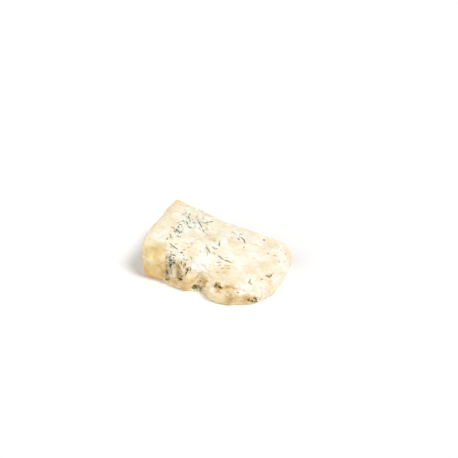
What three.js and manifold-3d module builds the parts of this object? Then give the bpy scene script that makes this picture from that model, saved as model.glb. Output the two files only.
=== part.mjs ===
// A wedge of soft blue cheese of the gorgonzola dolce kind, lying on one of its two cut faces.
// One solid: rind, veins and paste are one piece of food. Millimetres, +Z up.
// +X runs from the thick rind end to the thin tip, and -Y is the front, which has slumped.
// The origin is on the resting face, under the middle of the wedge.
import * as THREE from 'three';
import { ImprovedNoise } from 'three/addons/math/ImprovedNoise.js';
import { mergeVertices } from 'three/addons/utils/BufferGeometryUtils.js';
import Module from 'manifold-3d';

// Driving sizes. The length is close to the radius of a 300 mm wheel, the width to half its height.
const LENGTH = 149;
const WIDTH = 86;
const RIND_HEIGHT = 54;
const TIP_HEIGHT = 28;

// How far the tip's front corner has sunk below the cut face, and where along X that starts.
const FRONT_SAG = 5;
const SAG_START = -10;
const CROWN = 2.5; // how far the middle of the cut face stands above its edges

// Radius of each upright corner in plan.
const CORNER = { rindFront: 9, rindBack: 6, tipFront: 43, tipBack: 12 };

// Each side: edge is the radius where it meets the cut face, lean is how far it draws in
// from the foot to the top, and belly is how far it stands out at mid height.
const SIDE = {
  rind: { edge: 10, lean: 0, belly: 2.4 },
  tip: { edge: 10, lean: 4, belly: 2 },
  front: { edge: 17, lean: 8, belly: 3 },
  back: { edge: 5, lean: 1, belly: 1 },
};
const FOOT = { height: 4, tuck: 1.8 }; // the foot curls in where it meets the table
const LEAN_CURVE = 1.4; // above 1, a side leans in more towards its top
const CORNER_POWER = 8; // how late round a corner one side's sizes turn into the next side's

// Soft swellings of the front and the back: middle along X, reach to either side, how steeply
// their flanks fall, how far out, the height of their top, and how far above and below that they
// fade out. Two of the front's are lobes of a lip, paste that has flowed out low. A swelling below
// 0 draws the side in, and one whose top is ABOVE the wedge goes all the way up.
const ABOVE = 100;
const FRONT_SWELLS = [
  { x: -58, reach: 17, steep: 4, out: -3, top: 6, fade: 5 },
  { x: -24, reach: 19, steep: 2, out: 3.2, top: 30, fade: 8 },
  { x: 24, reach: 19, steep: 4, out: 9.2, top: 17, fade: 5 },
  { x: 54, reach: 12, steep: 4, out: 6.8, top: 13, fade: 13 },
];
const BACK_SWELLS = [
  { x: -62, reach: 24, steep: 2, out: 3.5, top: ABOVE, fade: 1 },
  { x: 4, reach: 40, steep: 2, out: -4.5, top: ABOVE, fade: 1 },
];

// Broad dents (depth > 0) and mounds (depth < 0) of the surface.
const DENTS = [
  { at: [-62, -32, 50], reach: 10, depth: 2.2 },
  { at: [-43, -44, 24], reach: 8, depth: 3.0 },
  { at: [-34, -48, 9], reach: 7, depth: -1.4 },
  { at: [-18, -47, 15], reach: 8, depth: -2.0 },
  { at: [-4, -45, 18], reach: 10, depth: 4.0 },
  { at: [24, -46, 20], reach: 9, depth: 1.8 },
  { at: [-44, -6, 50], reach: 10, depth: 1.8 },
  { at: [-46, 24, 50], reach: 11, depth: 1.2 },
  { at: [-16, -20, 44], reach: 15, depth: -2.0 },
  { at: [14, -14, 39], reach: 14, depth: -1.6 },
  { at: [14, 24, 39], reach: 11, depth: 1.4 },
  { at: [33, 12, 36], reach: 14, depth: -1.6 },
  { at: [47, -8, 32], reach: 12, depth: 1.8 },
  { at: [61, -20, 28], reach: 9, depth: 1.2 },
];

// Where the cut face has slumped over the tip's front corner, the surface is eased towards its
// neighbourhood this many times, less and less with the distance from the middle.
const SLUMP = { at: [50, -27, 26], reach: 18, rounds: 14 };

// Lumps of the curd: size across and height, coarse first.
const LUMPS = [
  { across: 32, height: 2.0 },
  { across: 13, height: 1.1 },
];

// Keeps the noise that moves the surface along X, Y and Z unlike.
const LUMP_SHIFT = { x: 11.3, y: 27.1, z: 43.7 };
const CORE_HALF = 45; // dents push away from a level line this long to either side of the middle

// Hollows where the blue mould grew: middle, half sizes, and turn about X, Y and Z in degrees.
const POCKETS = [
  { at: [-37, -42, 31], half: [3.8, 4.2, 7.5], turn: [0, 14, 0] },
  { at: [-41, -43.5, 17], half: [2.8, 3.4, 4.2], turn: [0, -20, 0] },
  { at: [-23, -41, 29], half: [2.2, 4.0, 3.6], turn: [0, 24, 0] },
  { at: [-25, -45, 14], half: [2.8, 3.8, 2.6], turn: [0, 0, 0] },
  { at: [-7, -45, 6], half: [7.5, 4.8, 3.8], turn: [0, -10, 0] },
  { at: [17, -45, 18], half: [3.6, 4.6, 2.5], turn: [0, 18, 0] },
  { at: [60, -39.5, 7], half: [3.6, 3.6, 2.0], turn: [0, 0, 40] },
];
const POCKET_ROUGHNESS = 0.5; // share of a pocket's size by which its wall wanders
const POCKET_WAVES = 1.7; // how many times the wall wanders across a pocket's half size
const POCKET_DETAIL = 2;

const STEPS = { along: 52, across: 32, up: 12 };
const BELOW = 6; // how far the block reaches below the table before the resting face is cut
const SAME_PLACE = 1e-4; // vertices nearer than this are one
const TINY = 1e-9;

const PASTE_LOOK = { color: 0xf4e9cd, roughness: 0.55, metalness: 0 };

const noise = new ImprovedNoise();
const half = { x: LENGTH / 2, y: WIDTH / 2 };

// Bends the corner of a unit square, at (1, 1), into a quarter of a round.
function roundOver(a, b) {
  return [a * Math.sqrt(1 - (b * b) / 2), b * Math.sqrt(1 - (a * a) / 2)];
}

// How far a side's swellings stand out at x, at a height.
function swell(x, height, swells) {
  return swells.reduce((sum, s) => {
    const left = 1 - THREE.MathUtils.smoothstep(height, s.top - s.fade, s.top + s.fade);
    return sum + s.out * left * Math.exp(-(Math.abs((x - s.x) / s.reach) ** s.steep));
  }, 0);
}

// A place in plan from u along and v across, each from -1 to 1.
function plan(u, v) {
  const end = u < 0 ? 'rind' : 'tip';
  const radius = CORNER[end + (v < 0 ? 'Front' : 'Back')];
  const flat = { x: half.x - radius, y: half.y - radius };
  const over = {
    x: Math.max(Math.abs(u) * half.x - flat.x, 0) / radius,
    y: Math.max(Math.abs(v) * half.y - flat.y, 0) / radius,
  };
  const [bentX, bentY] = roundOver(over.x, over.y);
  const x = Math.sign(u) * (Math.min(Math.abs(u) * half.x, flat.x) + bentX * radius);
  const y = Math.sign(v) * (Math.min(Math.abs(v) * half.y, flat.y) + bentY * radius);
  return [x, y];
}

// A size at u, v that passes smoothly from the ends' to the flanks' round the corners.
function roundCorner(u, v, atEnd, atFlank) {
  const endWeight = u ** CORNER_POWER + TINY;
  const flankWeight = v ** CORNER_POWER + TINY;
  return (atEnd * endWeight + atFlank * flankWeight) / (endWeight + flankWeight);
}

function sideSize(u, v, key) {
  const end = u < 0 ? SIDE.rind : SIDE.tip;
  const flank = v < 0 ? SIDE.front : SIDE.back;
  return roundCorner(u, v, end[key], flank[key]);
}

// Height of the cut face, which falls from the rind to the tip.
function cutFace(x, y) {
  const along = (x + half.x) / LENGTH;
  const sagAlong = THREE.MathUtils.smoothstep(x, SAG_START, half.x);
  const sagAcross = THREE.MathUtils.smoothstep(-y, -half.y / 2, half.y);
  const crown = CROWN * (1 - (x / half.x) ** 2) * (1 - (y / half.y) ** 2);
  return THREE.MathUtils.lerp(RIND_HEIGHT, TIP_HEIGHT, along) + crown - FRONT_SAG * sagAlong * sagAcross;
}

// A point of the smooth wedge from a point of the block, whose sides run from -1 to 1.
function smoothWedge(u, v, w) {
  const ring = Math.max(Math.abs(u), Math.abs(v));
  const [flatX, flatY] = plan(u, v);
  const top = cutFace(flatX, flatY);
  const reach = roundCorner(u, v, half.x, half.y);
  const edge = sideSize(u, v, 'edge');
  const height = THREE.MathUtils.lerp(-BELOW, top, (w + 1) / 2);

  // The rounded edge between the side and the cut face.
  const over = Math.max(ring * reach - (reach - edge), 0) / edge;
  const up = Math.max(height - (top - edge), 0) / edge;
  const [bentOver, bentUp] = roundOver(over, up);
  const z = Math.min(height, top - edge) + bentUp * edge;
  let out = Math.min(ring * reach, reach - edge) + bentOver * edge;

  // The side's own form: it leans in, has a belly, and curls in at the foot.
  const share = THREE.MathUtils.clamp(z / top, 0, 1);
  const foot = 1 - THREE.MathUtils.smoothstep(z, 0, FOOT.height);
  const drawnIn = sideSize(u, v, 'lean') * share ** LEAN_CURVE
    - sideSize(u, v, 'belly') * Math.sin(Math.PI * share)
    + FOOT.tuck * foot;
  out -= drawnIn * (out / reach);
  const scale = ring > 0 ? out / (ring * reach) : 1;
  const x = flatX * scale;
  const toFront = THREE.MathUtils.smoothstep(-v, 0, 1);
  const toBack = THREE.MathUtils.smoothstep(v, 0, 1);
  const y = flatY * scale - toFront * swell(x, z, FRONT_SWELLS) + toBack * swell(x, z, BACK_SWELLS);
  return new THREE.Vector3(x, y, z);
}

// Pushes a point in or out of the wedge by the dents, away from the wedge's core line.
function dent(point) {
  const core = new THREE.Vector3(THREE.MathUtils.clamp(point.x, -CORE_HALF, CORE_HALF), 0, point.z / 2);
  const outward = point.clone().sub(core).normalize();
  for (const { at, reach, depth } of DENTS) {
    const away = point.distanceTo(new THREE.Vector3(...at));
    point.addScaledVector(outward, -depth * Math.exp(-((away / reach) ** 2)));
  }
  return point;
}

// Moves a point by smooth noise, a different one for each axis.
function lump(point) {
  const moved = point.clone();
  for (const { across, height } of LUMPS) {
    const p = point.clone().divideScalar(across);
    moved.x += height * noise.noise(p.x + LUMP_SHIFT.x, p.y, p.z);
    moved.y += height * noise.noise(p.x, p.y + LUMP_SHIFT.y, p.z);
    moved.z += height * noise.noise(p.x, p.y, p.z + LUMP_SHIFT.z);
  }
  return moved;
}

// The same shape with its positions alone, each held once.
function merge(geometry) {
  const bare = geometry.clone();
  bare.deleteAttribute('normal');
  bare.deleteAttribute('uv');
  return mergeVertices(bare, SAME_PLACE);
}

// Puts each point of a shape where move says.
function moveEach(geometry, move) {
  const position = geometry.getAttribute('position');
  const point = new THREE.Vector3();
  for (let i = 0; i < position.count; i += 1) {
    const { x, y, z } = move(point.fromBufferAttribute(position, i), i);
    position.setXYZ(i, x, y, z);
  }
  return geometry;
}

// Eases a merged shape round the slump: each point moves towards the middle of its neighbours.
function slump(geometry) {
  const corners = geometry.index.array;
  const points = [];
  moveEach(geometry, (point, i) => {
    points[i] = point.clone();
    return point;
  });
  const middle = new THREE.Vector3(...SLUMP.at);
  const share = points.map((point) => Math.exp(-((point.distanceTo(middle) / SLUMP.reach) ** 2)));
  for (let round = 0; round < SLUMP.rounds; round += 1) {
    const sums = points.map(() => new THREE.Vector3());
    const counts = points.map(() => 0);
    // On a closed surface each neighbour of a point comes next after it in one triangle.
    for (let i = 0; i < corners.length; i += 1) {
      const next = i % 3 < 2 ? i + 1 : i - 2;
      sums[corners[i]].add(points[corners[next]]);
      counts[corners[i]] += 1;
    }
    points.forEach((point, i) => point.lerp(sums[i].divideScalar(counts[i]), share[i]));
  }
  return moveEach(geometry, (point, i) => points[i]);
}

function block() {
  const geometry = merge(new THREE.BoxGeometry(2, 2, 2, STEPS.along, STEPS.across, STEPS.up));
  moveEach(geometry, (point) => dent(smoothWedge(point.x, point.y, point.z)));
  return moveEach(slump(geometry), lump);
}

function pocket({ at, half: size, turn }) {
  const ball = moveEach(new THREE.IcosahedronGeometry(1, POCKET_DETAIL), (point) => {
    const p = point.clone().multiplyScalar(POCKET_WAVES);
    return point.multiplyScalar(1 + POCKET_ROUGHNESS * noise.noise(p.x + at[0], p.y, p.z + at[1]));
  });
  const [x, y, z] = turn.map(THREE.MathUtils.degToRad);
  return ball
    .scale(...size)
    .applyMatrix4(new THREE.Matrix4().makeRotationFromEuler(new THREE.Euler(x, y, z)))
    .translate(...at);
}

const wasm = await Module();
wasm.setup();

function toSolid(geometry) {
  const merged = merge(geometry);
  return new wasm.Manifold(new wasm.Mesh({
    numProp: 3,
    vertProperties: new Float32Array(merged.getAttribute('position').array),
    triVerts: new Uint32Array(merged.index.array),
  }));
}

function toGeometry(solid) {
  const mesh = solid.getMesh();
  const geometry = new THREE.BufferGeometry();
  geometry.setAttribute('position', new THREE.BufferAttribute(mesh.vertProperties, 3));
  geometry.setIndex(new THREE.BufferAttribute(mesh.triVerts, 1));
  geometry.computeVertexNormals();
  return geometry;
}

// The block cut off level at the table, with the mould's hollows taken out.
function wedge() {
  const table = new THREE.BoxGeometry(2 * LENGTH, 2 * WIDTH, 4 * BELOW).translate(0, 0, -2 * BELOW);
  const cuts = [table, ...POCKETS.map(pocket)].map(toSolid);
  const solid = cuts.reduce((body, cut) => body.subtract(cut), toSolid(block()));
  const geometry = toGeometry(solid);
  geometry.computeBoundingBox();
  const middle = geometry.boundingBox.getCenter(new THREE.Vector3());
  return geometry.translate(-middle.x, -middle.y, -geometry.boundingBox.min.z);
}

const gorgonzola = new THREE.Group();
const wedgeMesh = new THREE.Mesh(wedge(), new THREE.MeshStandardMaterial(PASTE_LOOK));
wedgeMesh.name = 'gorgonzola_wedge';
gorgonzola.add(wedgeMesh);

export default gorgonzola;
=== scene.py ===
"""A wedge of soft blue cheese on a pale floor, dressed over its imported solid.

The cheese is one piece: a fine copy of the solid, with its curd, crevices and rind modelled as relief,
and its blue veins drawn where the photograph shows them. Places on the cheese are in millimetres.
"""

import math
import random
from types import SimpleNamespace

import bmesh
import bpy
import numpy as np
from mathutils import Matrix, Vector, kdtree, noise
from mathutils.bvhtree import BVHTree


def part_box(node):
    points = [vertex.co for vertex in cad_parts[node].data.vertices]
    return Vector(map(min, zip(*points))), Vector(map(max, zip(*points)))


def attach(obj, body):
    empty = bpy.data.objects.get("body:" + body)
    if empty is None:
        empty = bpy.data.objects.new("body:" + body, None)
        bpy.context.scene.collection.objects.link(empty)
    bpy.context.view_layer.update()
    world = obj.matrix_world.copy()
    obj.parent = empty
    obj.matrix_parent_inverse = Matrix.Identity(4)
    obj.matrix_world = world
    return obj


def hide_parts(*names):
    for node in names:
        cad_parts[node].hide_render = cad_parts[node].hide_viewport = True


MM = 0.001

# The camera, as fitted to the outline of the cheese in the photograph.
PHOTO_SIDE = 458
PIXELS_PER_MM = 0.883
PART_PIXEL = (216.6, 271.2)
CAMERA_AZIMUTH = math.radians(23)
CAMERA_ELEVATION = math.radians(39)
CAMERA_DISTANCE = 800
SENSOR_WIDTH = 36

# The mesh of the dressed cheese.
VOXEL = 0.73  # keeps the cheese under 200,000 triangles
SOFTEN_ROUNDS = 4
MERGE_DISTANCE = 0.01
FOOT_CLEAR = 2.5  # relief dies away over this height above the table

# Veins seen in the photograph, as strokes through its pixels. Width is in millimetres, olive says how far
# the colour goes from blue-grey to olive brown, ink how dark the marks are, and dashes how many short
# extra marks each stroke has round it, within a spread in pixels.
VEINS = {
    "back specks": {
        "width": 0.7, "olive": 0.1, "ink": 0.7, "dashes": 3, "spread": 1.4,
        "strokes": [
            [(182.6, 214.4), (184, 214)], [(185.3, 213.4), (186.3, 212.8)], [(186, 216), (186.8, 217)],
            [(188, 218), (188.6, 216.2), (189.4, 218)], [(188.2, 214.8), (189.8, 214.8), (190.6, 212.8)],
        ],
    },
    "back specks below": {
        "width": 1.0, "olive": 0.0, "ink": 0.9, "dashes": 3, "spread": 1.6,
        "strokes": [
            [(182.4, 221), (183.6, 220.6)], [(185.4, 221.6), (187, 222.4), (188, 224)],
            [(188.2, 225.2), (189.2, 227), (191, 226.6)], [(189, 219.4), (190.6, 221)],
            [(180.2, 224.6), (181.6, 224.2)],
        ],
    },
    "back line": {
        "width": 0.7, "olive": 0.15, "ink": 0.85, "dashes": 2, "spread": 0.9,
        "strokes": [
            [(197.6, 219.8), (198.4, 221.4), (199.6, 223.4), (200.8, 225.2), (201.8, 227.6)],
            [(202.6, 229), (203.6, 230.6)], [(193.2, 221.6), (194.6, 222.4)],
            [(201, 222), (203.4, 223.2), (205.4, 222.8), (206.6, 224), (208, 225)],
            [(205.5, 222.2), (209, 222), (213.2, 221.8)],
        ],
    },
    "left patch": {
        "width": 0.85, "olive": 0.0, "ink": 0.85, "dashes": 5, "spread": 1.5,
        "strokes": [
            [(176.4, 228.8), (176.8, 231)], [(178.6, 226.2), (178, 227.6)],
            [(178.6, 230), (179.6, 231.6), (179.2, 233.6)], [(180.6, 231), (181.8, 231.4)],
            [(177, 235.4), (178.2, 236), (179.6, 236.6)],
        ],
    },
    "left dots": {
        "width": 0.9, "olive": 0.6, "ink": 0.6, "dashes": 1, "spread": 0.8,
        "strokes": [
            [(174.2, 226.8), (174.4, 229.2)], [(171.4, 227.4), (172.6, 227.8)],
            [(167, 238), (167.4, 239.4)], [(169.6, 232.6), (170.6, 235), (171.2, 238)],
        ],
    },
    "left lines": {
        "width": 0.7, "olive": 0.15, "ink": 0.85, "dashes": 3, "spread": 1.3,
        "strokes": [
            [(170.2, 243.8), (172.6, 245.8), (174.6, 247.4), (176.2, 248.6), (177.8, 249.2)],
            [(172, 254.6), (174.4, 255.4), (175.2, 255)], [(180.4, 252.4), (182, 252.6), (182.8, 253.4)],
        ],
    },
    "middle left waves": {
        "width": 0.7, "olive": 0.15, "ink": 0.45, "dashes": 2, "spread": 0.9,
        "strokes": [
            [(183.4, 258.2), (184.4, 259.8), (186.4, 260.4), (188.4, 259.4)],
            [(190, 256.8), (191.2, 257.8), (191.6, 259.6)], [(183, 249.8), (185.6, 249.6)],
            [(171.4, 251.4), (171.2, 253.6)],
        ],
    },
    "faint dots": {
        "width": 1.3, "olive": 0.4, "ink": 0.4, "dashes": 0, "spread": 0,
        "strokes": [
            [(186.4, 242.6), (187.2, 243.4)], [(191.2, 242), (191.8, 243.4)],
            [(188.2, 247.2), (188.8, 248)], [(199, 228), (200, 229.4)], [(206, 228.4), (208, 230)],
            [(212, 228), (213.6, 229.6)],
        ],
    },
    "front left net": {
        "width": 0.6, "olive": 0.2, "ink": 0.8, "dashes": 6, "spread": 1.9,
        "strokes": [
            [(168.4, 257), (170, 258.6), (170.4, 261)], [(171, 255.8), (169.8, 257.4)],
            [(172, 258.8), (175, 260.6)], [(165.4, 258.6), (165.8, 260.2)],
            [(170.4, 261), (172.2, 262.6), (174, 262)], [(167.4, 262), (169.2, 264.4), (169.6, 266.6)],
            [(171.8, 263.4), (170.4, 265), (170.2, 267.4), (169.6, 269.8)],
            [(167.6, 266), (168.6, 268), (169.4, 270)], [(171.4, 265.6), (171.8, 268)],
            [(167.4, 271), (168, 274)], [(173.6, 262), (175.4, 263.8)], [(172.6, 259.6), (171, 261.6)],
        ],
    },
    # The seam's dark line is painted shadow in the crease below the rind corner.
    "front left seam shadow": {
        "width": 1.3, "olive": 0.95, "ink": 0.85, "dashes": 0, "spread": 0,
        "strokes": [
            [(165.8, 278.4), (166.6, 279.8), (167.6, 280.8)],
        ],
    },
    "brown streaks": {
        "width": 0.8, "olive": 1.0, "ink": 0.6, "dashes": 2, "spread": 1.4,
        "strokes": [
            [(178.6, 266.6), (180.6, 268.4)], [(176, 271.6), (177.4, 274.4), (178.8, 277)],
            [(175.6, 266), (177.2, 267.4)], [(181, 271.4), (179.6, 275)],
        ],
    },
    "front dark spots": {
        "width": 0.85, "olive": 0.65, "ink": 0.85, "dashes": 3, "spread": 1.1,
        "strokes": [
            [(187.2, 268.4), (187.8, 270.2), (187, 271.8), (186, 273.4), (185, 275.2)],
            [(185.6, 269.4), (186.8, 271)], [(185.4, 263.6), (185.7, 265.6)],
            [(189.8, 269.6), (190.4, 270.6)], [(181, 262.4), (181.2, 264.6)],
            [(180, 278.4), (180.6, 277), (182.2, 276.8)], [(180.4, 279), (181.8, 279.4), (182.4, 278.4)],
        ],
    },
    "notch net": {
        "width": 0.7, "olive": 0.5, "ink": 0.7, "dashes": 4, "spread": 1.8,
        "strokes": [
            [(193, 285.6), (194.6, 286), (195.6, 287.6), (196.8, 289)], [(194.8, 284.4), (196.4, 286.6)],
            [(192.6, 288), (194.6, 288.4)], [(197.6, 287), (199.4, 288.4), (201.6, 288)],
            [(199, 290), (201.6, 290.4)], [(203.4, 290.6), (204.8, 291.2)], [(202, 286.6), (204.4, 286)],
        ],
    },
    "notch streaks": {
        "width": 0.6, "olive": 0.95, "ink": 0.55, "dashes": 2, "spread": 1.6,
        "strokes": [
            [(197.4, 283.6), (198.4, 281.8)], [(199.6, 283), (200, 280.4)],
            [(202.6, 284), (204.2, 281.6)], [(204.4, 286.4), (206.6, 283.6)], [(196, 278), (198, 276)],
            [(205.4, 280.4), (207.6, 281.4)],
        ],
    },
    "middle marks": {
        "width": 0.8, "olive": 0.15, "ink": 0.75, "dashes": 1, "spread": 0.8,
        "strokes": [
            [(218.2, 243.4), (219.4, 244.8), (219.6, 242.4), (219.2, 240.8)],
            [(212.2, 246.6), (213.2, 247.4), (215, 248.8), (217.4, 248.4)],
            [(207.4, 247.8), (208.6, 249.8), (209.8, 251.4)],
        ],
    },
    "cut lines": {
        "width": 0.6, "olive": 0.5, "ink": 0.8, "dashes": 0, "spread": 0,
        "strokes": [
            [(218.4, 256.2), (220.6, 257.8), (222.8, 259)],
            [(223.4, 259.6), (226, 260.6), (229, 261), (232, 262.6)],
        ],
    },
    "faint cut lines": {
        "width": 0.7, "olive": 0.6, "ink": 0.35, "dashes": 0, "spread": 0,
        "strokes": [
            [(225.4, 257.6), (229, 257.4)], [(216.6, 262.4), (221.4, 262.6)],
            [(218, 265.6), (221, 265.4)], [(225.4, 265.4), (229.6, 266.2)], [(227.4, 268), (230, 268.6)],
            [(221, 268.6), (223.4, 268.4)], [(223, 272.6), (225, 271.8)], [(216, 272), (219, 272.6)],
        ],
    },
    "right back curve": {
        "width": 0.9, "olive": 0.5, "ink": 1.0, "dashes": 0, "spread": 0,
        "strokes": [
            [(239.6, 233.8), (241.8, 234.8)], [(238.2, 238), (239.2, 238.6)],
            [(264, 239.2), (264.2, 240.2)],
            [(239.8, 236.4), (241.8, 237.2), (243.4, 238.8), (244.4, 240.6), (244.8, 242.4)],
        ],
    },
    "soft streaks": {
        "width": 1.3, "olive": 0.6, "ink": 0.3, "dashes": 0, "spread": 0,
        "strokes": [
            [(203.4, 231), (206, 233), (209, 236)], [(209, 238), (212, 238.6), (215, 240)],
            [(213, 240), (214.6, 243)], [(206, 227), (207.4, 228.4)], [(203, 216.6), (203.6, 218.6)],
            [(196.4, 219), (197, 216.6), (198.4, 215.8)], [(190.6, 235.6), (192.6, 236.8)],
            [(199, 250), (201.6, 252)], [(207, 252), (207.6, 255.4)], [(212.6, 251.8), (215, 254.6)],
            [(206.4, 245), (206.6, 248)], [(231, 236.6), (233.4, 238)], [(225.2, 236), (226.4, 236.6)],
        ],
    },
    "right faint marks": {
        "width": 0.9, "olive": 0.6, "ink": 0.5, "dashes": 0, "spread": 0,
        "strokes": [
            [(231.4, 231.8), (234, 232.6), (236.6, 234)], [(255.2, 243.4), (257.6, 245), (260, 246.6)],
            [(267.2, 253.4), (268.6, 254)], [(273.6, 255.6), (276.4, 255.8)],
            [(285, 253.6), (285.8, 255)], [(262.8, 279.4), (261.2, 279.6)], [(280, 249.8), (280.6, 251)],
            [(279, 261), (279.6, 262)], [(236.6, 292), (238.8, 292.6)], [(243.6, 247), (244.4, 248)],
            [(253, 258), (254.4, 258.4)],
        ],
    },
    "right hollow": {
        "width": 0.9, "olive": 0.7, "ink": 0.6, "dashes": 1, "spread": 0.8,
        "strokes": [
            [(250.4, 279), (249.4, 281), (249, 283)], [(250.6, 283.6), (252, 284.6)],
        ],
    },
    "right mark": {
        "width": 1.0, "olive": 0.95, "ink": 0.9, "dashes": 2, "spread": 0.8,
        "strokes": [
            [(266.2, 275.6), (267.6, 276.2), (269.4, 277), (270.6, 276), (271.8, 274.8)],
        ],
    },
    "crease hole": {
        "width": 1.15, "olive": 1.0, "ink": 0.85, "dashes": 2, "spread": 1.0,
        "strokes": [
            [(216.4, 283.6), (217, 285), (215.4, 285.8), (214.6, 286.6)],
            [(218.4, 285.6), (219.6, 286.4), (220.4, 287.6)],
        ],
    },
    "lip foot": {
        "width": 1.1, "olive": 1.0, "ink": 1.0, "dashes": 3, "spread": 1.4,
        "strokes": [
            [(252.4, 300.4), (252.6, 302)], [(254.8, 302.2), (257.6, 302.2)],
            [(248.6, 300.8), (249.6, 301.6)], [(255.6, 299.6), (256.8, 300.4)],
        ],
    },
}
DASH_REACH = 2.0  # a dash's influence ends so far from its edge
STROKE_REACH = 1.3  # and a stroke's
WIDEST_HALF = 1.0  # more than half the width of any mark
MARK_EDGE = 0.3  # a place that is nearer than this takes the mark's own share of olive
STRAND_STEP = 0.35  # pixels between the samples along a strand
SWAY = 0.3  # how far a strand strays, in pixels
SWAY_LENGTH = 3.0  # pixels along a strand from one stray to the next
VEIN_SEED = 11  # for the draws of the dashes, and for the noise that strands sway by
STRAND_SEEDS = 50  # each strand's own sway is drawn from 0 to this
DASH_TURN = 0.6  # how far dashes turn from their stroke, in radians
DASH_HALF_LENGTH = (0.3, 1.4)  # pixels
DASH_WIDTH = (0.3, 0.8)  # as a share of the stroke's
SHORTEST_SPAN = 1.5  # dashes lie at least so far to both sides of a stroke's middle, in pixels
# The width and the ink of a mark swing along it: how far, and over how many millimetres.
WIDTH_MEAN = 0.8
WIDTH_SWING = (0.6, 1.7)
INK_SWING = (0.35, 3.1)

# Blooms, the soft grey-green patches that the veins lie in: the pixel of the middle, the reach in
# millimetres, the strength and the olive share.
BLOOMS = {
    "back specks": ((186, 215), 4.5, 0.65, 0.0),
    "back specks below": ((189, 223), 4.5, 0.75, 0.0),
    "back line": ((200, 223), 4.5, 0.55, 0.0),
    "back line end": ((208, 224), 4.0, 0.6, 0.0),
    "left patch": ((178, 231), 4.5, 1.0, 0.0),
    "left dots": ((172, 230), 4.0, 0.35, 0.7),
    "left streak": ((171, 237), 3.5, 0.35, 0.9),
    "left lines": ((174, 246), 4.5, 0.5, 0.0),
    "left lines below": ((178, 252), 4.5, 0.55, 0.0),
    "net top": ((169, 258), 4.5, 0.8, 0.3),
    "net middle": ((171, 265), 5.0, 1.0, 0.1),
    "net low": ((171, 273), 4.5, 0.95, 0.0),
    # Painted shadow: the seam's olive bloom darkens the crease below the rind corner.
    "seam": ((167, 279), 3.0, 0.5, 0.9),
    "dark spot": ((187, 270), 3.5, 0.75, 0.3),
    "brown dot": ((181, 263), 2.5, 0.6, 0.6),
    "curl": ((181, 278), 2.6, 0.7, 0.6),
    "notch": ((195, 286), 4.5, 0.95, 0.2),
    "notch right": ((201, 289), 4.0, 0.85, 0.2),
    "notch streaks": ((203, 281), 5.0, 0.45, 1.0),
    "crease hole": ((217, 286), 3.4, 0.9, 1.0),
    "crease": ((226, 287), 3.0, 0.3, 1.0),
    "middle marks": ((208, 249), 5.0, 0.45, 0.1),
    "middle mark": ((215, 248), 3.0, 0.35, 0.1),
    "middle mark above": ((219, 243), 3.0, 0.4, 0.1),
    "right back": ((242, 238), 3.5, 0.35, 0.3),
    "right back haze": ((255, 237), 4.0, 0.25, 0.0),
    "right hollow": ((250, 281), 3.5, 0.4, 0.2),
    "right mark": ((269, 276), 3.2, 0.65, 1.0),
    "lip foot": ((253, 300), 4.5, 0.8, 1.0),
    "lip": ((238, 293), 3.0, 0.3, 0.0),
    "middle haze": ((208, 251), 4.0, 0.5, 0.2),
    "back haze": ((197, 217), 5.0, 0.35, 0.1),
    "back haze low": ((205, 228), 4.0, 0.35, 0.2),
}
FAINTEST_BLOOM = 0.05  # olive is a share of the bloom, taken as at least this

# Tan and brown places, partly the paste's and the rind's own tone and partly painted shade in hollows,
# creases, dents and at the foot: the pixel of the middle, the reach in millimetres and the strength. A
# strength below 0 keeps a place pale, which at the lip's end is painted light.
TAN_AND_SHADE_PATCHES = {
    "rind dent": ((156, 251), 7, 0.35),
    "rind dent right": ((161, 247), 6, 0.2),
    "rind edge": ((165, 245), 4, 0.35),
    "rind spot": ((156, 259), 4, 0.35),
    "rind low": ((154, 268), 7, 0.5),
    "beside the net": ((161, 263), 5, 0.4),
    # Painted shade in the seam's crease.
    "seam": ((163, 275), 5, 1.4),
    "seam top": ((163, 269), 5, 0.5),
    "back left corner": ((178, 201), 5, 0.5),
    "hollow": ((177, 267), 7, 0.7),
    "hollow low": ((178, 274), 6, 0.6),
    "front foot": ((174, 282), 8, 0.9),
    "bulge": ((186, 283), 8, 0.7),
    "bulge foot": ((184, 289), 6, 0.45),
    "mound": ((201, 278), 8, 0.35),
    "mound low": ((206, 283), 6, 0.45),
    "mound left": ((193, 281), 5, 0.35),
    "below the hole": ((218, 291), 6, 0.9),
    "crease": ((226, 287), 5, 0.5),
    "crease right": ((234, 287), 5, 0.35),
    "lip": ((231, 296), 7, 0.75),
    "lip foot left": ((228, 303), 7, 0.75),
    "lip foot right": ((244, 301), 8, 0.75),
    "lip right": ((248, 297), 5, 0.45),
    # Painted light: the lip's end is kept pale, as if lit from below.
    "lip end": ((211, 298), 6, -0.8),
    "lip foot tip": ((254, 300), 5, 0.6),
    "hole": ((217, 286), 4, 0.3),
    "right mark": ((269, 281), 5, 0.45),
    "smudge back": ((192, 231), 4, 0.3),
    "smudge middle": ((213, 239), 4, 0.4),
    "smudge left": ((171, 237), 3, 0.3),
    "creases": ((223, 272), 5, 0.3),
    "cream middle": ((212, 237), 6, 0.2),
}

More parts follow.
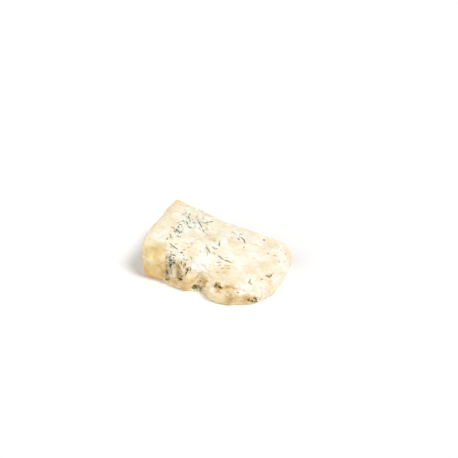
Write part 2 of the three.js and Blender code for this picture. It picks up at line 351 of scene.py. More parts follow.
# Creamier (above 0) and whiter (below 0) places of the paste: the pixel of the middle, the reach in
# millimetres and the strength.
CREAM_PATCHES = {
    "beside the left patch": ((185, 232), 4.5, -1.2),
    "between the back specks": ((185, 219), 4.0, -1.0),
    "middle": ((200, 264), 8, -1.2),
    "middle above": ((197, 252), 7, 0.4),
    "middle left": ((184, 246), 6, 0.4),
    "above the middle": ((196, 240), 6, -0.4),
    "back left corner": ((178, 205), 9, 0.9),
    "back left edge": ((171, 213), 8, 0.6),
    "right of the cut lines": ((238, 264), 5, -0.4),
    "above the lip": ((237, 280), 6, 0.6),
    "lip top": ((242, 289), 3.5, -1.3),
    "by the back line": ((213, 231), 5, -0.2),
    "right of the middle marks": ((224, 243), 7, -0.9),
    "right": ((251, 250), 8, -0.3),
    "tip edge": ((283, 265), 7, -1.5),
    "tip back": ((276, 247), 6, 0.4),
    "right end": ((285, 252), 5, 0.7),
    "tip front": ((268, 290), 6, 0.3),
    "right back": ((234, 240), 6, 0.9),
    "smudge middle": ((212, 237), 6, 1.1),
    "right middle": ((249, 268), 7, 1.0),
    "creases": ((222, 272), 8, 0.9),
    "creases below": ((230, 279), 6, 0.7),
    "tip middle": ((265, 266), 7, 0.9),
    "tip middle right": ((273, 262), 5, 0.5),
    "back edge": ((208, 214), 8, 0.9),
    "back edge right": ((222, 222), 8, 0.6),
    "back side": ((172, 222), 8, 0.5),
    "rind side": ((160, 228), 8, 0.1),
}

# Peach places at the rind's left edge and foot, partly the rind's own tone and partly painted warm light
# reflected from below: the pixel of the middle, the reach in millimetres and the strength.
PEACH_REFLECTION_PATCHES = {
    "left corner": ((144, 269), 12, 0.8),
    "left edge": ((143, 256), 11, 0.5),
    "foot": ((156, 277), 9, 0.25),
}

# Furrows pressed into the surface: the line through the photograph's pixels, half width and depth. A depth
# below 0 raises a ridge.
FURROWS = {
    "seam": ([(166, 257), (166, 266), (167, 274), (168.5, 281)], 2.6, 2.6),
    "ridge by the seam": ([(173, 258), (173, 267), (174, 277)], 1.8, -1.2),
    "rind fold": ([(159, 266), (163, 273), (168, 279)], 1.8, 1.6),
    "rind dent": ([(153, 251), (158, 249), (163, 252)], 5.0, 2.2),
    "rind swelling": ([(148, 260), (156, 261), (161, 262)], 4.0, -1.2),
    "lip crease": (
        [(206, 294), (207, 288), (213, 286), (221, 288), (229, 287), (237, 289), (244, 291)], 1.5, 2.4,
    ),
    "lip swelling": ([(213, 293), (224, 293), (238, 295)], 4.0, -1.4),
    "bulge edge": ([(191, 262), (188, 269), (184, 277)], 2.0, 1.8),
    "hollow": ([(178, 262), (177, 270), (177, 276)], 3.0, 2.0),
    "mound shade": ([(200, 275), (203, 281), (199, 287)], 4.5, 1.5),
    "bulge": ([(188, 279), (190, 286)], 4.0, -1.2),
    "cut line": ([(218, 256), (223, 259.5), (228, 261), (232, 262.5)], 0.8, 0.8),
    "crease 1": ([(216.5, 262.4), (221.5, 262.6)], 0.7, 0.5),
    "crease 2": ([(218, 265.6), (224, 265.2), (230, 266.4)], 0.7, 0.6),
    "crease 3": ([(220, 269), (225, 268.4), (230, 268.8)], 0.7, 0.5),
    "crease 4": ([(216, 272), (220, 272.8), (226, 271.4)], 0.8, 0.6),
    "lip foot": ([(258, 303), (262, 298), (261, 291)], 1.8, 1.6),
    "long crease left": ([(190, 226), (194, 231), (198, 236), (203, 241), (207, 245)], 1.1, 1.5),
    "long crease right": ([(205, 228), (209, 233), (213, 238), (220, 246)], 1.1, 1.4),
    "long crease middle": ([(196, 229), (201, 234), (205, 238), (209, 243)], 1.0, -0.9),
    "left crease": ([(169, 232), (171, 238), (172, 242)], 1.0, 0.8),
    "right dent": ([(243, 262), (249, 268)], 4.0, 1.4),
    "tip dent": ([(262, 262), (268, 268)], 4.0, 1.1),
    "back dent": ([(230, 238), (238, 242)], 4.0, 1.1),
    "right hollow": ([(250, 279), (249, 283)], 2.0, 1.0),
    "tip mark": ([(266, 275.4), (269, 277), (272, 275)], 1.4, 0.8),
}

# Relief, as noises: how far across the lumps are, how high, and a shift that gives each its own pattern.
CUT_LUMPS = [(12, 1.5, 0.0), (5.5, 1.05, 0.0), (2.2, 0.5, 0.0)]
RIND_LUMPS = [(9, 0.5, 0.0), (2.4, 0.3, 5.0), (1.2, 0.12, 0.0)]
CRUMBS = [(4.5, 1.8, 0.0), (2.0, 0.9, 7.0)]
CRUMB_FLOOR = 0.3  # taken off a crumb's height, so that the cracks press in
CRUMB_SHARE = 0.8
# The cut has drawn the paste into long, narrow streaks.
STREAK_SHAPE = [[0.07, 0.1, 0], [-0.02, 0.38, 0], [0, 0, 0.38]]
STREAK_HEIGHT = 0.6
STREAK_SHIFT = 31.0
DASH_DENT = 0.7
STROKE_DENT = 0.5
PIT_ACROSS = 6.5
PIT_SHARE = 0.35
PIT_DEPTH_CUT = 0.7
PIT_DEPTH_RIND = 0.3
# A pit's reach, as a share of its cell, is the first number and up to the second more.
PIT_REACH = (0.16, 0.12)
CELL_SCATTER = 57.0  # gives neighbouring cells chances of their own
# Guessed veins on the hidden cut faces, where thin sheets of noise cross patches of it.
SHEETS = [(13, 1.0, 3.0), (4, 0.35, 9.0)]
SHEET_PATCHES = [(19, 1.0, 21.0)]

# How far a face has to turn one way, from the first number to the second, to be wholly of its kind.
RIND_FACING = (0.3, 0.62)
UP_FACING = (0.45, 0.8)
UNDER_FACING = (0.6, 0.9)
TIP_FACING = (0.65, 0.85)
FRONT_FACING = (0.2, 0.7)
TOP_FACING = (0.3, 0.85)
# Stretches of the cheese over which rind and tones set in: distances from its middle, then heights.
RIND_END = (55, 62)
RIND_FRONT = (43, 53)
TIP_END = (52, 64)
TOWARDS_TIP = (25, 55)
NEAR_RIND = (50, 70)
NEAR_BACK = (24, 42)
LOW = (1, 24)
FOOT = (0, 10)
HIGH = (36, 48)
# The rind's border wanders: over so many millimetres, by so much facing, and by a multiple of it in front.
RIND_WANDER_ACROSS = 9
RIND_WANDER = 0.12
RIND_FRONT_WANDER = 30

PASTE_WHITE = (252, 249, 238)
PASTE_CREAM = (240, 222, 184)
# Warm tone: partly the paste's own, partly painted warm reflected light.
PASTE_WARM = (248, 222, 170)
# Tan and brown: partly the paste's own tone, partly painted shade.
PASTE_TAN = (230, 198, 134)
PASTE_BROWN = (180, 152, 106)
RIND_BLOOM = (252, 236, 194)
RIND_STRAW = (239, 213, 151)
# Rust: the rind's own clouds, and painted shade in its dents.
RIND_RUST = (219, 180, 121)
# Peach: partly the rind's own tone, partly painted warm reflected light.
RIND_PEACH = (231, 166, 92)
RIND_CRUST = (208, 178, 128)
MOULD_DARK = (58, 70, 64)
MOULD_BLUE = (122, 138, 130)
BLOOM_PALE = (240, 242, 233)
BLOOM_TEAL = (184, 190, 166)
MOULD_OLIVE = (116, 102, 62)
MOULD_SEPIA = (76, 68, 38)
BLOOM_OLIVE = (203, 178, 104)
FLOOR_COLOUR = (252, 252, 252)
FLOOR_RADIUS = 6.0  # metres

# What each vertex keeps for the material.
KEPT = ["line", "ink", "vein", "bloom", "olive", "rind", "tan", "cream", "warm", "peach", "crust"]

WORLD_STRENGTH = 0.44
# Each soft light: its name, strength, apparent size in degrees, and the direction that it comes from.
LIGHTS = [
    ("key", 1.92, 22, (0.55, -0.05, 0.85)),
    ("fill", 0.75, 50, (-0.65, -0.6, 0.5)),
]


def linear(colour):
    """An 8-bit screen colour as the linear red, green, blue and alpha that sockets take."""
    parts = [c / 255 for c in colour]
    return tuple(p / 12.92 if p <= 0.04045 else ((p + 0.055) / 1.055) ** 2.4 for p in parts) + (1.0,)


class Wire:
    """A value in a material's tree. Arithmetic on wires adds Math nodes."""

    def __init__(self, finish, socket):
        self.finish = finish
        self.socket = socket

    def math(self, operation, first, second):
        return self.finish.node("Math", {"operation": operation}, {0: first, 1: second})

    def __add__(self, other):
        return self.math("ADD", self, other)

    __radd__ = __add__

    def __sub__(self, other):
        return self.math("SUBTRACT", self, other)

    def __rsub__(self, other):
        return self.math("SUBTRACT", other, self)

    def __abs__(self):
        return self.finish.node("Math", {"operation": "ABSOLUTE"}, {0: self})

    def __mul__(self, other):
        return self.math("MULTIPLY", self, other)

    __rmul__ = __mul__


class Finish:
    """A material's node tree, with one method that adds any node."""

    def __init__(self, name):
        self.material = bpy.data.materials.new(name)
        self.material.use_nodes = True
        self.tree = self.material.node_tree
        self.tree.nodes.clear()

    def node(self, kind, settings=None, sockets=None, output=0):
        made = self.tree.nodes.new("ShaderNode" + kind)
        for name, value in (settings or {}).items():
            setattr(made, name, value)
        for name, value in (sockets or {}).items():
            if isinstance(value, Wire):
                self.tree.links.new(value.socket, made.inputs[name])
            else:
                made.inputs[name].default_value = value
        return Wire(self, made.outputs[output])

    def kept(self, name):
        """A number kept on the mesh's vertices."""
        return self.node("Attribute", {"attribute_name": name}, output="Fac")

    def grain(self, place, across, detail=2.0, roughness=0.5, distortion=0.0):
        """Noise from 0 to 1, whose lumps are so many millimetres across."""
        return self.node("TexNoise", {}, {
            "Vector": place, "Scale": 1 / (across * MM), "Detail": detail, "Roughness": roughness,
            "Distortion": distortion,
        })

    def band(self, value, low, high):
        """0 below low, 1 above high, and a smooth step between."""
        return self.node("MapRange", {"interpolation_type": "SMOOTHSTEP"}, {
            "Value": value, "From Min": low, "From Max": high,
        })

    def mix(self, share, first, second):
        first, second = (c if isinstance(c, Wire) else linear(c) for c in (first, second))
        return self.node("Mix", {"data_type": "RGBA"}, {0: share, 6: first, 7: second}, output=2)

    def bump(self, height, distance, strength, under=None):
        sockets = {"Height": height, "Distance": distance * MM, "Strength": strength}
        if under is not None:
            sockets["Normal"] = under
        return self.node("Bump", {}, sockets)

    def surface(self, shader):
        output = self.tree.nodes.new("ShaderNodeOutputMaterial")
        self.tree.links.new(shader.socket, output.inputs["Surface"])
        return self.material


def grains(finish):
    """The noises that the colours are drawn from. Broad, middle and speck lie about 0."""
    place = finish.node("TexCoord", output="Object")
    return SimpleNamespace(
        broad=finish.grain(place, 15, detail=2) - 0.5,
        middle=finish.grain(place, 5, detail=3, distortion=0.3) - 0.5,
        fine=finish.grain(place, 1.8, detail=3, roughness=0.6),
        crumb=finish.grain(place, 0.7, detail=2, roughness=0.6),
        speck=finish.grain(place, 1.2, detail=4, roughness=0.7, distortion=0.6) - 0.5,
        fleck=finish.grain(place, 1.5, detail=3, roughness=0.65, distortion=0.4),
        dust=finish.grain(place, 8, detail=4, roughness=0.6),
        rust=finish.grain(place, 21, detail=5, roughness=0.6, distortion=0.5),
        net=1 - abs(finish.grain(place, 2.6, detail=3, roughness=0.6, distortion=0.8) - 0.5) * 7,
    )


def paste_colour(finish, kept, grain):
    """Ivory paste, creamier in places, warmer with its own tone near the rind and with painted warm reflected
    light on its sides and low down, tan and brown in places partly of its own and partly as painted shade,
    with grey and white flecks.
    """
    creamy = finish.band(kept.cream + grain.broad * 3.0 + grain.middle * 2.5, -1.1, 1.35)
    colour = finish.mix(creamy, PASTE_WHITE, PASTE_CREAM)
    # Warmth: painted warm reflected light on the sides and low down, and the paste's own yellower tone near
    # the rind and the back.
    warmed_and_reflected = finish.band(kept.warm + grain.middle * 0.8, 0.1, 1.1)
    colour = finish.mix(warmed_and_reflected * 0.85, colour, PASTE_WARM)
    # Tan and brown: partly the paste's own tone, partly painted shade in hollows, creases and at the foot.
    tan_and_shade_share = finish.band(kept.tan + grain.middle * 0.8 + (grain.fine - 0.5) * 0.5, 0.1, 0.9)
    colour = finish.mix(tan_and_shade_share * 0.9, colour, PASTE_TAN)
    brown_and_shade_share = finish.band(kept.tan + (grain.fine - 0.5) * 1.4 + grain.middle * 0.6, 0.65, 1.15)
    colour = finish.mix(brown_and_shade_share * 0.75, colour, PASTE_BROWN)
    greyed = finish.band(grain.fleck + grain.middle * 0.5, 0.58, 0.72)
    colour = finish.mix(greyed * 0.22, colour, BLOOM_TEAL)
    whitened = finish.band(grain.fleck - grain.middle * 0.4, 0.46, 0.34)
    return finish.mix(whitened * 0.3, colour, PASTE_WHITE)


def rind_colour(finish, kept, grain):
    """Pale rind with straw and rusty clouds, rust-tan painted shade in its dents and folds, peach places that
    are partly its own tone and partly painted warm reflected light, and a browner crust at the back.
    """
    # Straw deepens at random, and also with painted shade and painted reflected light.
    strawed = finish.band(grain.dust + kept.peach * 0.25 + kept.tan * 0.35, 0.4, 0.72)
    colour = finish.mix(strawed, RIND_BLOOM, RIND_STRAW)
    rusty = finish.band(grain.rust, 0.48, 0.75)
    # Rust from the tan share is painted shade in the rind's dents and folds.
    colour = finish.mix(rusty * 0.5 + kept.tan * 0.6, colour, RIND_RUST)
    # Peach: partly the rind's own tone, partly painted warm light reflected from below.
    reflected_peach = finish.band(kept.peach + (grain.dust - 0.5) * 1.6, 0.2, 1.9)
    colour = finish.mix(reflected_peach, colour, RIND_PEACH)
    crusted = finish.band(kept.crust + (grain.dust - 0.5) * 1.4, 0.1, 1.1)
    colour = finish.mix(crusted * 0.7, colour, RIND_CRUST)
    flecked = finish.band(grain.fine, 0.58, 0.75) * (kept.crust * 0.35 + 0.15)
    return finish.mix(flecked, colour, PASTE_BROWN)


def with_blooms(finish, kept, grain, body):
    """The body's colour under the soft blooms that the veins lie in."""
    wash = finish.band(kept.bloom + grain.speck * 1.2 + (grain.fine - 0.5) * 0.8, 0.05, 0.9)
    halo = finish.mix(finish.band(kept.bloom, 0.4, 1.0), BLOOM_PALE, BLOOM_TEAL)
    return finish.mix(wash * 0.75, body, finish.mix(kept.olive, halo, BLOOM_OLIVE))


def with_strokes(finish, kept, grain, body):
    """The body's colour under the strokes, each with a pale edge, a grey side and a dark core."""
    drawn = kept.line + grain.speck * (2.3 - kept.ink)
    edge = finish.band(drawn, 0.1, 0.8) * kept.ink * 0.35
    body = finish.mix(edge, body, finish.mix(kept.olive, BLOOM_TEAL, BLOOM_OLIVE))
    side = finish.band(drawn, 0.6, 0.85) * kept.ink * 0.9
    body = finish.mix(side, body, finish.mix(kept.olive, MOULD_BLUE, MOULD_OLIVE))
    core = finish.band(drawn, 0.8, 1.0) * (kept.ink * 1.6 - 0.6)
    return finish.mix(core, body, finish.mix(kept.olive, MOULD_DARK, MOULD_SEPIA))


def cheese_finish():
    """Moist ivory paste, blue veins in grey-green blooms, and a straw rind, by what the vertices keep."""
    finish = Finish("soft_blue_cheese")
    kept = SimpleNamespace(**{name: finish.kept(name) for name in KEPT})
    grain = grains(finish)

    growth = kept.vein * 0.84 + kept.bloom * 0.2 + grain.speck * 2.2 + finish.band(grain.net, 0, 1) * 0.2
    blue = finish.band(growth, 0.8, 1.0)
    dark = finish.band(growth, 1.1, 1.4)
    body = finish.mix(kept.rind, paste_colour(finish, kept, grain), rind_colour(finish, kept, grain))
    body = with_blooms(finish, kept, grain, body)
    body = finish.mix(blue * 0.9, body, finish.mix(kept.olive, MOULD_BLUE, MOULD_OLIVE))
    body = finish.mix(dark, body, MOULD_DARK)
    body = with_strokes(finish, kept, grain, body)

    rough = 0.4 + grain.middle * 0.25 + kept.rind * 0.25 + blue * 0.2
    relief = finish.bump(grain.fine, 0.8, 0.45)
    relief = finish.bump(grain.crumb, 0.4, 0.35, under=relief)
    shader = finish.node("BsdfPrincipled", {}, {
        "Base Color": body, "Roughness": rough, "Normal": relief, "Specular IOR Level": 0.2,
        "Subsurface Weight": 0.25, "Subsurface Radius": (1.0, 0.7, 0.45), "Subsurface Scale": 1.5 * MM,
    })
    return finish.surface(shader)


def floor_finish():
    finish = Finish("pale_floor")
    place = finish.node("TexCoord", output="Object")
    cloud = finish.grain(place, 400, detail=1)
    shader = finish.node("BsdfPrincipled", {}, {
        "Base Color": linear(FLOOR_COLOUR), "Roughness": 0.6 + cloud * 0.1, "Specular IOR Level": 0.2,
    })
    return finish.surface(shader)


def camera_place():
    """The camera's place, its turn, and its focal length in pixels. Millimetres."""
    flat = math.cos(CAMERA_ELEVATION)
    back = Vector((
        math.sin(CAMERA_AZIMUTH) * flat, -math.cos(CAMERA_AZIMUTH) * flat, math.sin(CAMERA_ELEVATION),
    ))
    right = Vector((math.cos(CAMERA_AZIMUTH), math.sin(CAMERA_AZIMUTH), 0))
    up = back.cross(right)
    centre = PHOTO_SIDE / 2
    aim = (right * (centre - PART_PIXEL[0]) + up * (PART_PIXEL[1] - centre)) / PIXELS_PER_MM
    place = back * CAMERA_DISTANCE
    turn = (aim - place).to_track_quat("-Z", "Y")
    return place, turn, PIXELS_PER_MM * CAMERA_DISTANCE


def make_camera():
    place, turn, focal = camera_place()
    data = bpy.data.cameras.new("camera")
    data.sensor_width = SENSOR_WIDTH
    data.lens = focal * SENSOR_WIDTH / PHOTO_SIDE
    camera = bpy.data.objects.new("camera", data)
    camera.location = place * MM
    camera.rotation_mode = "QUATERNION"
    camera.rotation_quaternion = turn
    bpy.context.scene.collection.objects.link(camera)
    bpy.context.scene.camera = camera


class Photo:
    """Finds the place on the cheese, in millimetres, that a pixel of the photograph shows."""

    def __init__(self, mesh):
        self.tree = BVHTree.FromBMesh(mesh)
        self.place, self.turn, self.focal = camera_place()

    def on_cheese(self, pixel):
        centre = PHOTO_SIDE / 2
        ray = self.turn @ Vector((pixel[0] - centre, centre - pixel[1], -self.focal))
        found = self.tree.ray_cast(self.place * MM, ray.normalized())[0]
        return None if found is None else found / MM

    def along(self, line, step=STRAND_STEP):
        """Places on the cheese along a line of pixels."""
        found = []
        for start, end in zip(line, line[1:]):
            start, end = Vector(start), Vector(end)
            count = max(1, round((end - start).length / step))
            found += [self.on_cheese(start.lerp(end, i / count)) for i in range(count + 1)]
        return [place for place in found if place is not None]


def noise_over(places, across, shift=0.0):
    """Smooth noise from -1 to 1 at each place, with lumps so many millimetres across."""
    return np.array([noise.noise(Vector(place)) for place in places / across + shift])


def smooth_step(value, low, high):
    share = np.clip((value - low) / (high - low), 0, 1)
    return share * share * (3 - 2 * share)


def strand(photo, pixels, seed):
    """Places on the cheese along a line of pixels that strays a little."""
    places = []
    for start, end in zip(pixels, pixels[1:]):
        start, end = Vector(start), Vector(end)
        count = max(2, round((end - start).length / STRAND_STEP))
        for i in range(count + 1):
            pixel = start.lerp(end, i / count)
            sway = noise.noise_vector(Vector((pixel.x, pixel.y, seed)) / SWAY_LENGTH)
            places.append(photo.on_cheese(pixel + Vector(sway.xy) * SWAY))
    return places


def mark_samples(places, vein, width):
    """Samples along a stroke or a dash of a vein: place, half width, olive share and ink."""
    kept = []
    for i, place in enumerate(places):
        if place is not None:
            taper = math.sin(math.pi * (i + 1) / (len(places) + 1)) ** 0.5
            beat = WIDTH_MEAN + WIDTH_SWING[0] * noise.noise(place / WIDTH_SWING[1])
            ink = vein["ink"] * (1 + INK_SWING[0] * noise.noise(place / INK_SWING[1]))
            kept.append((place, width / 2 * taper * beat, vein["olive"], ink))
    return kept


def vein_samples(photo):
    """Samples along every stroke, and along every dash beside it."""
    draw = random.Random(VEIN_SEED)
    noise.seed_set(VEIN_SEED)  # otherwise noise_vector takes its offsets from the clock
    strokes = []
    dashes = []
    for vein in VEINS.values():
        for stroke in vein["strokes"]:
            strokes += mark_samples(strand(photo, stroke, draw.uniform(0, STRAND_SEEDS)), vein, vein["width"])
            middle = (Vector(stroke[0]) + Vector(stroke[-1])) / 2
            span = max((Vector(stroke[-1]) - Vector(stroke[0])).length / 2, SHORTEST_SPAN)
            heading = math.atan2(stroke[-1][1] - stroke[0][1], stroke[-1][0] - stroke[0][0])
            for _ in range(vein["dashes"]):
                turn = heading + draw.gauss(0, DASH_TURN)
                half = Vector((math.cos(turn), math.sin(turn))) * draw.uniform(*DASH_HALF_LENGTH)
                along = Vector((math.cos(heading), math.sin(heading))) * draw.uniform(-span, span)
                centre = middle + along + Vector((draw.gauss(0, 1), draw.gauss(0, 1))) * vein["spread"]
                dash = strand(photo, [centre - half, centre + half], draw.uniform(0, STRAND_SEEDS))
                dashes += mark_samples(dash, vein, vein["width"] * draw.uniform(*DASH_WIDTH))
    return strokes, dashes


def tree_of(places):
    """A search tree over places."""
    tree = kdtree.KDTree(len(places))
    for i, place in enumerate(places):
        tree.insert(place, i)
    tree.balance()
    return tree


def nearest(places, samples, reach):
    """How near each place is to a sample, from 0 at its reach to 1 inside it, with its olive and ink."""
    tree = tree_of([sample[0] for sample in samples])
    near = np.zeros(len(places))
    olive = np.zeros(len(places))
    ink = np.zeros(len(places))
    for i, place in enumerate(places):
        for _, k, away in tree.find_range(Vector(place), reach + WIDEST_HALF):
            _, half_width, sample_olive, sample_ink = samples[k]
            share = 1 - max(away - half_width, 0) / reach
            if share > near[i]:
                near[i], olive[i], ink[i] = share, sample_olive, sample_ink
    return near, olive, ink


def furrow_depth(places, photo):
    """How deep the furrows press in at each place."""
    depth = np.zeros(len(places))
    for line, half_width, deep in FURROWS.values():
        tree = tree_of(photo.along(line))
        away = np.array([tree.find(Vector(place))[2] for place in places])
        depth += deep * np.exp(-((away / half_width) ** 2))
    return depth


def patch_share(places, photo, patches):
    """The sum of round patches, each with its middle at a pixel of the photograph."""
    share = np.zeros(len(places))
    for name, (pixel, reach, strength) in patches.items():
        middle = photo.on_cheese(pixel)
        if middle is None:
            raise ValueError(f"patch {name} misses the cheese")
        away = np.linalg.norm(places - np.array(middle), axis=1)
        share += strength * np.exp(-((away / reach) ** 2))
    return share


def underside(facing):
    """1 where the cheese faces the table."""
    return smooth_step(-facing[:, 2], *UNDER_FACING)


def unseen(places, facing):
    """1 on the cut faces that the photograph doesn't show: the tip's side and the underside."""
    tip = smooth_step(facing[:, 0], *TIP_FACING) * smooth_step(places[:, 0], *TIP_END)
    return np.maximum(tip, underside(facing))


def lumps_over(places, lumps):
    """The sum of noises, each with lumps so far across and so high."""
    return sum(high * noise_over(places, across, shift) for across, high, shift in lumps)


def marbling(places):
    """Closeness to veins that run through the paste as thin, broken sheets, in loose patches."""
    sheets = np.abs(lumps_over(places, SHEETS))
    patches = smooth_step(lumps_over(places, SHEET_PATCHES), -0.15, 0.2)
    return np.clip(1.05 - sheets * 9, 0, 1) * patches


def chunks(places, across, shift=0.0):
    """Height of a crumbly surface, from 0 in the cracks to about 1 on the crumbs."""
    found = []
    for place in places / across + shift:
        away = noise.voronoi(Vector(place))[0]
        found.append(away[1] - away[0])
    return np.array(found)


def pits(places, across, share):
    """Depth, from 0 to 1, of small pits, one in that share of the cells so many millimetres across."""
    found = []
    for place in places / across:
        away, points = noise.voronoi(Vector(place))
        chance = abs(noise.cell(points[0] * CELL_SCATTER))
        reach = PIT_REACH[0] + PIT_REACH[1] * chance
        found.append(max(0.0, 1 - (away[0] / reach) ** 2) if chance < share else 0.0)
    return np.array(found)


def copy_of_solid(solid):
    mesh = bmesh.new()
    mesh.from_mesh(solid.data)
    bmesh.ops.remove_doubles(mesh, verts=mesh.verts, dist=MERGE_DISTANCE * MM)
    data = bpy.data.meshes.new("cheese")
    mesh.to_mesh(data)
    mesh.free()
    piece = bpy.data.objects.new("soft_blue_cheese_wedge", data)
    bpy.context.scene.collection.objects.link(piece)
    return piece


def fine_mesh(piece):
    """The piece's shape as an even, fine mesh."""
    remesh = piece.modifiers.new("fine", "REMESH")
    remesh.mode = "VOXEL"
    remesh.voxel_size = VOXEL * MM
    depsgraph = bpy.context.evaluated_depsgraph_get()
    fine = bpy.data.meshes.new_from_object(piece.evaluated_get(depsgraph))
    piece.modifiers.clear()
    piece.data = fine
    mesh = bmesh.new()
    mesh.from_mesh(fine)
    for _ in range(SOFTEN_ROUNDS):
        bmesh.ops.smooth_vert(mesh, verts=mesh.verts, factor=0.5,
                              use_axis_x=True, use_axis_y=True, use_axis_z=True)
    return mesh


def rind_shares(places, facing):
    """How far each place is rind, and how far it is the crusted rind at the back."""
    wander = noise_over(places, RIND_WANDER_ACROSS) * RIND_WANDER
    end = smooth_step(-facing[:, 0] + wander, *RIND_FACING) * smooth_step(-places[:, 0], *RIND_END)
    back = smooth_step(facing[:, 1] + wander, *RIND_FACING)
    upright = 1 - smooth_step(facing[:, 2], *UP_FACING)
    front_left = smooth_step(-places[:, 0] + wander * RIND_FRONT_WANDER, *RIND_FRONT) * upright
    rind = np.maximum(np.maximum(end, back), front_left) * (1 - underside(facing))
    return rind, back * rind


def mould_shares(places, facing, photo, cut):
    """What strokes, dashes and blooms give each place, under the names that the vertices keep."""
    strokes, dashes = vein_samples(photo)
    line, line_olive, ink = nearest(places, strokes, STROKE_REACH)
    vein, vein_olive, vein_ink = nearest(places, dashes, DASH_REACH)
    vein = np.maximum(vein * vein_ink, marbling(places) * unseen(places, facing)) * cut
    blooms = {name: (pixel, reach, strength) for name, (pixel, reach, strength, _) in BLOOMS.items()}
    olives = {
        name: (pixel, reach, strength * share) for name, (pixel, reach, strength, share) in BLOOMS.items()
    }
    bloom = patch_share(places, photo, blooms) * cut
    bloom_olive = patch_share(places, photo, olives) / np.maximum(bloom, FAINTEST_BLOOM)
    olive = np.where(vein > MARK_EDGE, vein_olive, bloom_olive)
    olive = np.clip(np.where(line > MARK_EDGE, line_olive, olive), 0, 1)
    return {"line": line, "ink": ink, "vein": vein, "bloom": bloom, "olive": olive}


def tone_shares(places, facing, photo, furrow):
    """How much tan and painted shade, cream, warm tone and painted reflected light, and peach each place
    takes, under the names that the vertices keep.
    """
    # Furrows add to the tan as painted shade in their creases.
    tan = patch_share(places, photo, TAN_AND_SHADE_PATCHES) + 0.12 * np.clip(furrow, 0, 2.5)
    cream = patch_share(places, photo, CREAM_PATCHES)
    low = 1 - smooth_step(places[:, 2], *LOW)
    foot = 1 - smooth_step(places[:, 2], *FOOT)
    high = smooth_step(places[:, 2], *HIGH)
    # Peach grows towards the foot and fades up high: painted warm light reflected from below, besides the
    # rind's own peach places.
    peach = 0.6 * low + 0.2 * foot - 0.7 * high + patch_share(places, photo, PEACH_REFLECTION_PATCHES)
    # Sides warm up, more so low down and less towards the tip, as painted warm reflected light; the margin
    # near the rind and the back is the paste's own yellower tone.
    side = 1 - smooth_step(facing[:, 2], *TOP_FACING)
    margin = smooth_step(-places[:, 0], *NEAR_RIND) + smooth_step(places[:, 1], *NEAR_BACK)
    warm = side * (0.75 + 0.45 * low) * (1 - 0.6 * smooth_step(places[:, 0], *TOWARDS_TIP))
    warm = warm - 0.8 * np.maximum(-cream, 0) + 0.38 * margin
    return {"tan": tan, "cream": cream, "warm": warm, "peach": peach}


def relief_height(places, facing, kept, furrow):
    """How far each place rises above the smooth form."""
    rind = kept["rind"]
    cut = 1 - rind
    front = smooth_step(-facing[:, 1], *FRONT_FACING)
    crumbly = np.clip(kept["tan"] * 1.2 + front * 0.3, 0, 1) * cut
    streaks = noise_over(places @ np.array(STREAK_SHAPE), 1, STREAK_SHIFT)
    lumps = lumps_over(places, CUT_LUMPS) + STREAK_HEIGHT * streaks
    crumbs = sum((chunks(places, across, shift) - CRUMB_FLOOR) * high for across, high, shift in CRUMBS)
    height = cut * lumps + crumbly * crumbs * CRUMB_SHARE + rind * lumps_over(places, RIND_LUMPS)
    height -= cut * smooth_step(kept["vein"], 0.5, 1.0) * DASH_DENT
    height -= smooth_step(kept["line"], 0.6, 1.0) * kept["ink"] * STROKE_DENT
    height -= (PIT_DEPTH_CUT * cut + PIT_DEPTH_RIND * rind) * pits(places, PIT_ACROSS, PIT_SHARE)
    height -= furrow
    return height * (smooth_step(places[:, 2], 0, FOOT_CLEAR) * (1 - underside(facing)))


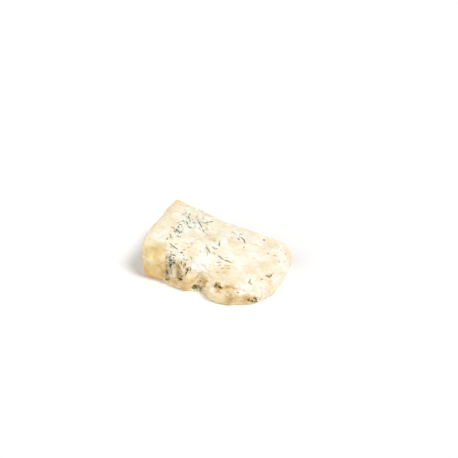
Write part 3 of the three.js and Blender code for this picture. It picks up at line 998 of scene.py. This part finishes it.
def dress(solid):
    """The solid's form as one fine piece, with the relief and the marks of the cheese."""
    piece = copy_of_solid(solid)
    mesh = fine_mesh(piece)
    mesh.normal_update()
    photo = Photo(mesh)
    places = np.array([v.co for v in mesh.verts]) / MM
    facing = np.array([v.normal for v in mesh.verts])

    rind, crust = rind_shares(places, facing)
    furrow = furrow_depth(places, photo)
    kept = {"rind": rind, "crust": crust}
    kept.update(mould_shares(places, facing, photo, 1 - rind))
    kept.update(tone_shares(places, facing, photo, furrow))
    height = relief_height(places, facing, kept, furrow)
    for name in KEPT:
        layer = mesh.verts.layers.float.new(name)
        for vert, value in zip(mesh.verts, kept[name]):
            vert[layer] = value
    floor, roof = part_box("gorgonzola_wedge")
    for vert, rise in zip(mesh.verts, height):
        moved = vert.co + vert.normal * rise * MM
        vert.co = [min(max(m, a), b) for m, a, b in zip(moved, floor, roof)]
    mesh.to_mesh(piece.data)
    mesh.free()
    for face in piece.data.polygons:
        face.use_smooth = True
    piece.data.materials.clear()
    piece.data.materials.append(cheese_finish())
    return piece


def make_floor():
    mesh = bmesh.new()
    bmesh.ops.create_circle(mesh, cap_ends=True, segments=96, radius=FLOOR_RADIUS)
    data = bpy.data.meshes.new("floor")
    mesh.to_mesh(data)
    mesh.free()
    floor = bpy.data.objects.new("floor", data)
    bpy.context.scene.collection.objects.link(floor)
    data.materials.append(floor_finish())


def make_light():
    scene = bpy.context.scene
    scene.view_settings.view_transform = "Standard"
    world = bpy.data.worlds.new("studio")
    world.use_nodes = True
    tree = world.node_tree
    background = tree.nodes["Background"]
    background.inputs["Color"].default_value = (1.0, 1.0, 1.0, 1.0)
    path = tree.nodes.new("ShaderNodeLightPath")
    seen = tree.nodes.new("ShaderNodeMapRange")
    seen.inputs["To Min"].default_value = WORLD_STRENGTH
    seen.inputs["To Max"].default_value = 1.0
    tree.links.new(path.outputs["Is Camera Ray"], seen.inputs["Value"])
    tree.links.new(seen.outputs["Result"], background.inputs["Strength"])
    scene.world = world
    for name, strength, spread, toward in LIGHTS:
        data = bpy.data.lights.new(name, "SUN")
        data.energy = strength
        data.angle = math.radians(spread)
        lamp = bpy.data.objects.new(name, data)
        lamp.rotation_mode = "QUATERNION"
        lamp.rotation_quaternion = Vector(toward).to_track_quat("Z", "Y")
        scene.collection.objects.link(lamp)


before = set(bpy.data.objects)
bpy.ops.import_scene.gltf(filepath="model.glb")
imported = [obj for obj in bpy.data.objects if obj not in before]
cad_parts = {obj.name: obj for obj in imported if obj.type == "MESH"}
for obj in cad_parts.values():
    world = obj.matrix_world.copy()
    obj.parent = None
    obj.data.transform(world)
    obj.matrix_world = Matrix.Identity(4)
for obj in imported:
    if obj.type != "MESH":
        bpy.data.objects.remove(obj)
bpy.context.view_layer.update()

cheese = dress(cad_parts["gorgonzola_wedge"])
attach(cheese, "root")
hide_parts("gorgonzola_wedge")
make_floor()
make_light()
make_camera()
